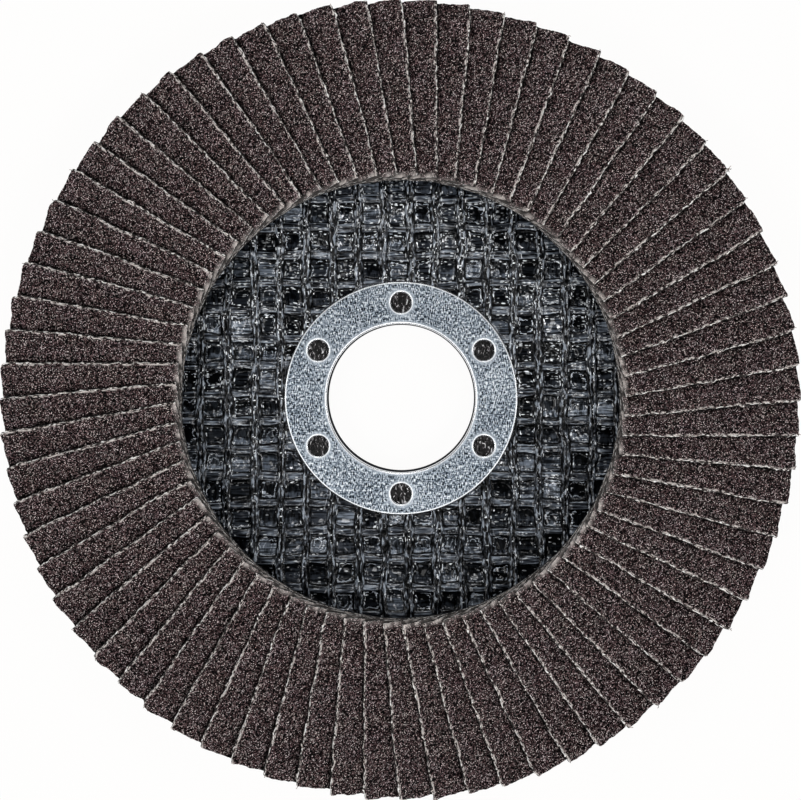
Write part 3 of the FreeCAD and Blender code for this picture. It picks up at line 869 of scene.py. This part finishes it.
# %% Wear and shade of one flap
def edge_marks(number):
    """Where the coat has broken off along the raised edge, and where the next edge shades it."""
    source = np.random.default_rng(9200 + number)
    x, y = flat[:, 0], flat[:, 1]
    worn = np.clip(waver(source, y, 0.35, 1.9) + waver(source, y, 3.0, 0.7), 0, 1)
    bare = on_top * worn * fade(WIDTH - 0.2, WIDTH, x)
    ends = 0.10 + 0.50 * np.clip(waver(source, x, 0.7, 1.5), 0, 1)
    bare = np.maximum(bare, on_top * ends * fade(0.80, 0.05, y))
    turn = 2 * math.pi / FLAPS
    across = LOW_EDGE + x * math.cos(LEAN)
    out = INNER_END + y
    beside = across * math.cos(turn) + out * math.sin(turn) - FREE_EDGE
    edge_line = 0.08 + 0.18 * y / LENGTH + waver(source, y, 0.5, 0.30)
    shade = on_top * (1 - fade(edge_line, edge_line + 0.35, beside)) * 0.95
    return bare, shade


print("worn bare on flap 0: %.1f percent of the top" % (100 * edge_marks(0)[0][on_top].mean()))

# %% [markdown]
# The grain is crushed brown aluminium oxide in a dark phenolic size coat. Each crystal
# is one Voronoi cell. Most are dark grey brown, some are nearly black, and the ones whose
# fresh fracture faces the light are pinkish white. A broad faint noise tints whole
# patches warmer or cooler, as in a real batch of grit.

# %% Material: brown aluminium oxide grain
GRIT = 0.155                         # width of a crystal, in mm
grain, tree = new_material("brown_aluminium_oxide_grain")
place = node(tree, "TexCoord")
cells = node(tree, "TexVoronoi", {"Vector": place.outputs["Object"], "Scale": 1000 / GRIT})
clumps = node(tree, "TexNoise", {"Vector": place.outputs["Object"], "Scale": 1000 / 0.9, "Detail": 2.0})
cell = node(tree, "SeparateXYZ", {0: cells.outputs["Color"]})
mixed = node(tree, "Math", {0: clumps, 1: 0.16, 2: cell}, operation="MULTIPLY_ADD")
tone = node(tree, "ValToRGB", {0: mixed},
            stops=[(0.21, "030202"), (0.42, "190E0F"), (0.66, "5C4546"), (0.95, "997F80")])
glint = node(tree, "ValToRGB", {0: cell.outputs[1]}, stops=[(0.72, 0.0), (0.82, 0.45), (0.90, 1.0)])
lit = node(tree, "Mix", {0: glint, 6: tone, 7: linear("F0DFDD")}, **COLOURS)
# the size coat is dark between the crystals
gap = node(tree, "MapRange", {0: cells, 1: 0.27, 2: 0.62, 3: 1.0, 4: 0.01})
patch = node(tree, "TexNoise", {"Vector": place.outputs["Object"], "Scale": 1000 / 2.5, "Detail": 2.0})
tint = node(tree, "Mix", {0: 0.12, 6: (1.0, 1.0, 1.0, 1.0), 7: patch.outputs["Color"]}, **COLOURS)
tinted = node(tree, "Mix", {0: 1.0, 6: lit.outputs[2], 7: tint.outputs[2]}, **TIMES)
deep = node(tree, "Mix", {0: 1.0, 6: tinted.outputs[2], 7: gap}, **TIMES)
# along the raised edge the coat has broken off the yarn, and beside the next one it is in deep shade
bare = node(tree, "Attribute", attribute_name="bare_edge")
shade = node(tree, "Attribute", attribute_name="overlap_shade")
light = node(tree, "Math", {0: 1.0, 1: shade.outputs["Fac"]}, operation="SUBTRACT")
deep = node(tree, "Mix", {0: 1.0, 6: deep.outputs[2], 7: light}, **TIMES)
worn = node(tree, "Mix", {0: bare.outputs["Fac"], 6: deep.outputs[2], 7: linear("F4EAE4")}, **COLOURS)
bump = node(tree, "Bump", {"Strength": 0.8, "Distance": 0.12 * MM, "Height": cells}, invert=True)
shader = node(tree, "BsdfPrincipled", {"Base Color": worn.outputs[2], "Roughness": 0.62, "IOR": 1.5,
                                       "Specular IOR Level": 0.06, "Normal": bump})
node(tree, "OutputMaterial", {"Surface": shader})
print("grain cells of", GRIT, "mm")

# %% [markdown]
# A cut side shows the layers: pale yarn of the cotton and polyester backing below, and the
# dark coat with its grain above. The lowest part of the yarn is painted dark as shade. The
# UV map of the sides runs along the cut in millimetres and up through the thickness, so the
# layers stay parallel to the cloth.

# %% Material: cut cloth
cut_cloth, tree = new_material("cut_cotton_polyester_cloth")
uv = node(tree, "UVMap", uv_map="cut")
axes = node(tree, "SeparateXYZ", {0: uv})
place = node(tree, "TexCoord")
fray = node(tree, "TexNoise", {"Vector": place.outputs["Object"], "Scale": 1000 / 0.45, "Detail": 2.0})
height = node(tree, "Math", {0: fray, 1: 0.5, 2: axes.outputs[1]}, operation="MULTIPLY_ADD")
coat = node(tree, "MapRange", {0: height, 1: 1.12, 2: 1.20}, **SMOOTH)
# painted shade: the yarn is painted dark towards the bottom of the cut side
lower_side_shade = node(tree, "MapRange", {0: height, 1: 0.68, 2: 0.90, 3: 0.04, 4: 1.0}, **SMOOTH)
ends = node(tree, "TexNoise", {"Vector": place.outputs["Object"], "Scale": 1000 / 0.42, "Detail": 2.0})
yarn = node(tree, "ValToRGB", {0: ends},
            stops=[(0.43, "120E0C"), (0.48, "6E5F58"), (0.52, "E8DCD4"), (0.57, "FFFDFA")])
yarn = node(tree, "Mix", {0: 1.0, 6: yarn, 7: lower_side_shade}, **TIMES)
tone = node(tree, "Mix", {0: coat, 6: yarn.outputs[2], 7: linear("2A2222")}, **COLOURS)
shader = node(tree, "BsdfPrincipled", {"Base Color": tone.outputs[2], "Roughness": 0.9})
node(tree, "OutputMaterial", {"Surface": shader})

print("nodes of the cut cloth:", len(tree.nodes))

# %% [markdown]
# The back of the cloth is the same woven yarn, soaked with a brown finish. Two crossed
# waves on the flap's own map give its plain weave.

# %% Material: cloth back
YARN_GAP = 0.45                      # mm from yarn to yarn of the backing
WAVE_PERIOD = 0.31                   # of a wave texture at scale 1
cloth_back, tree = new_material("woven_cotton_polyester_back")
uv = node(tree, "UVMap", uv_map="cut")
weave_x, weave_y = [node(tree, "TexWave", {"Vector": uv, "Scale": WAVE_PERIOD / YARN_GAP,
                                           "Distortion": 0.6}, bands_direction=axis) for axis in "XY"]
both = node(tree, "Math", {0: weave_x.outputs["Fac"], 1: weave_y.outputs["Fac"]}, operation="MULTIPLY")
tone = node(tree, "ValToRGB", {0: both}, stops=[(0.0, "4A3630"), (0.5, "8A6C5E"), (1.0, "A88A7A")])
bump = node(tree, "Bump", {"Strength": 0.6, "Distance": 0.12 * MM, "Height": both})
shader = node(tree, "BsdfPrincipled", {"Base Color": tone, "Roughness": 0.85, "Normal": bump})
node(tree, "OutputMaterial", {"Surface": shader})
print("yarns", YARN_GAP, "mm apart on the back")

# %% Map the cut sides
pair = bmesh.new()
pair.from_mesh(one_flap)
pair.from_mesh(one_flap)
cut_map = pair.loops.layers.uv.new("cut")
for face in pair.faces:
    for loop in face.loops:
        co = loop.vert.co
        if face.material_index == CUT_SIDE:
            loop[cut_map].uv = (co.x + co.y, co.z / THICK)
        else:
            loop[cut_map].uv = (co.x, co.y)
pair_mesh = bpy.data.meshes.new("pair")
pair.to_mesh(pair_mesh)
pair.free()

# %% Lay the flaps
free_corner = int(np.argmax(flat.sum(axis=1)))
corners = []
for number in range(0, FLAPS, 2):
    mesh = pair_mesh.copy()
    points = np.concatenate([cut_flap(number), cut_flap(number + 1)])
    corners += [Vector(points[free_corner]), Vector(points[free_corner + len(flat)])]
    mesh.vertices.foreach_set("co", points.ravel())
    mesh.update()
    marks = np.concatenate([edge_marks(number), edge_marks(number + 1)], axis=1)
    for name, values in zip(("bare_edge", "overlap_shade"), marks):
        mesh.attributes.new(name, "FLOAT", "POINT").data.foreach_set("value", values.astype(np.float32))
    finished("cloth_pair_%02d" % (number // 2 + 1), mesh, [grain, cut_cloth, cloth_back],
             ["flap_pair_%02d" % (number // 2 + 1)])
print("flaps laid:", FLAPS)

# %% [markdown]
# Cutting the flaps leaves a few loose ends of yarn at their outer corners. Each one is
# a thin closed tube: the rim of a five-sided cap is extruded in short steps, every step
# turns it a little, so the ends curl, and a face closes it. One corner near the top right
# has a small tangle.

# %% Loose ends of yarn
source = np.random.default_rng(57)
THREAD, STEP_LENGTH = 0.045, 0.14    # radius of a thread and length of one step, in mm
starts = [corners[i] for i in source.choice(FLAPS, 40)]
TANGLE = Vector((45.6, 33.8, 14.0))  # the corner nearest to this place has four more
tangle = min(corners, key=lambda c: (c - TANGLE).length)
starts += [tangle] * 4
bm = bmesh.new()
for start in starts:
    steps = 8 if start == tangle else int(source.integers(3, 6))
    out = Vector((start.x, start.y, 0)).normalized()
    heading = (out + Vector(source.uniform(-0.9, 0.9, 3).tolist())).normalized()
    heading.z = abs(heading.z) * 0.3
    begin = start - heading * 0.15 - Vector((0, 0, 0.25))
    turned = heading.to_track_quat("Z", "X").to_matrix().to_4x4()
    ring = bmesh.ops.create_circle(bm, cap_ends=True, segments=5, radius=THREAD,
                                   matrix=Matrix.Translation(begin) @ turned)["verts"]
    rim = [e for e in bm.edges if e.verts[0] in ring and e.verts[1] in ring]
    curl = Vector(source.uniform(-1, 1, 3).tolist()).normalized()
    bend = Matrix.Rotation(source.uniform(0.25, 0.55) * (1.5 if start == tangle else 1.0), 3, curl)
    for _ in range(steps):
        ring, rim = extrude_rim(bm, rim)
        bmesh.ops.translate(bm, vec=heading * STEP_LENGTH, verts=ring)
        middle = sum((v.co for v in ring), Vector()) / len(ring)
        bmesh.ops.rotate(bm, cent=middle, matrix=bend, verts=ring)
        heading = bend @ heading
    bmesh.ops.contextual_create(bm, geom=rim)
bmesh.ops.recalc_face_normals(bm, faces=bm.faces[:])
thread_mesh = bpy.data.meshes.new("threads")
bm.to_mesh(thread_mesh)
print("open edges:", len([e for e in bm.edges if len(e.link_faces) != 2]))
bm.free()

print("loose ends:", len(starts))

# %% [markdown]
# The thread is the backing's own cotton and polyester, spun and then stained by the brown
# finish, so it is matt and has patches that took more of the stain.

# %% Material: brown yarn
yarn_thread, tree = new_material("brown_cotton_polyester_yarn")
place = node(tree, "TexCoord")
patchy = node(tree, "TexNoise", {"Vector": place.outputs["Object"], "Scale": 1000 / 1.0})
tone = node(tree, "ValToRGB", {0: patchy}, stops=[(0.40, "4A3C38"), (0.60, "A89488")])
shader = node(tree, "BsdfPrincipled", {"Base Color": tone, "Roughness": 0.8})
node(tree, "OutputMaterial", {"Surface": shader})
threads = finished("loose_yarn_ends", thread_mesh, [yarn_thread])
print("yarn piece:", threads.name)

# %% [markdown]
# At the end the picture's colour transform is set to Standard and the scene is brought up
# to date.

# %% Finish
bpy.context.scene.view_settings.view_transform = "Standard"
bpy.context.view_layer.update()
